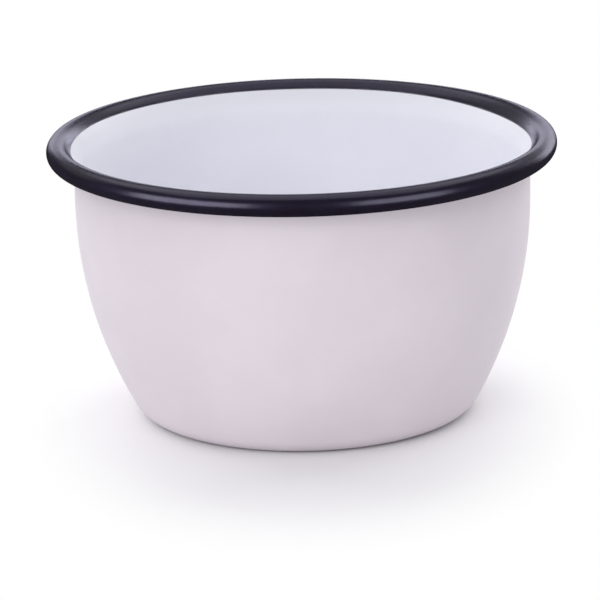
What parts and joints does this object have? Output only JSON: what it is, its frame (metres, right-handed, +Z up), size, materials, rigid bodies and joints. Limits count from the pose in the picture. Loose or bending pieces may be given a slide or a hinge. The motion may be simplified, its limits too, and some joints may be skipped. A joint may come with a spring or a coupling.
{
  "type": "enamel basin bowl",
  "caption": "Round deep bowl of enamelled pressed steel, white inside and pale pink outside, with a blue-black rolled rim, for mixing, serving or rinsing food.",
  "frame": {"origin": "centre of the base, on the plane of the standing ring", "axes": "+Z up along the bowl's axis; X and Y level, and the bowl is round, so their direction is free"},
  "size_m": [0.14, 0.14, 0.0778],
  "materials": {
    "sheet_steel": "cold-rolled steel sheet, bare only at its cut edge",
    "ground_enamel": "dark blue-grey ground enamel, glossy",
    "white_enamel": "cool white glossy enamel",
    "pink_enamel": "pale lilac-pink satin-gloss enamel",
    "rim_enamel": "blue-black glossy enamel"
  },
  "bodies": {
    "root": {"steel_bowl": "sheet_steel", "inner_ground_coat": "ground_enamel", "outer_ground_coat": "ground_enamel", "white_lining": "white_enamel", "outer_coat": "pink_enamel", "rim_coat": "rim_enamel"}
  },
  "joints": []
}
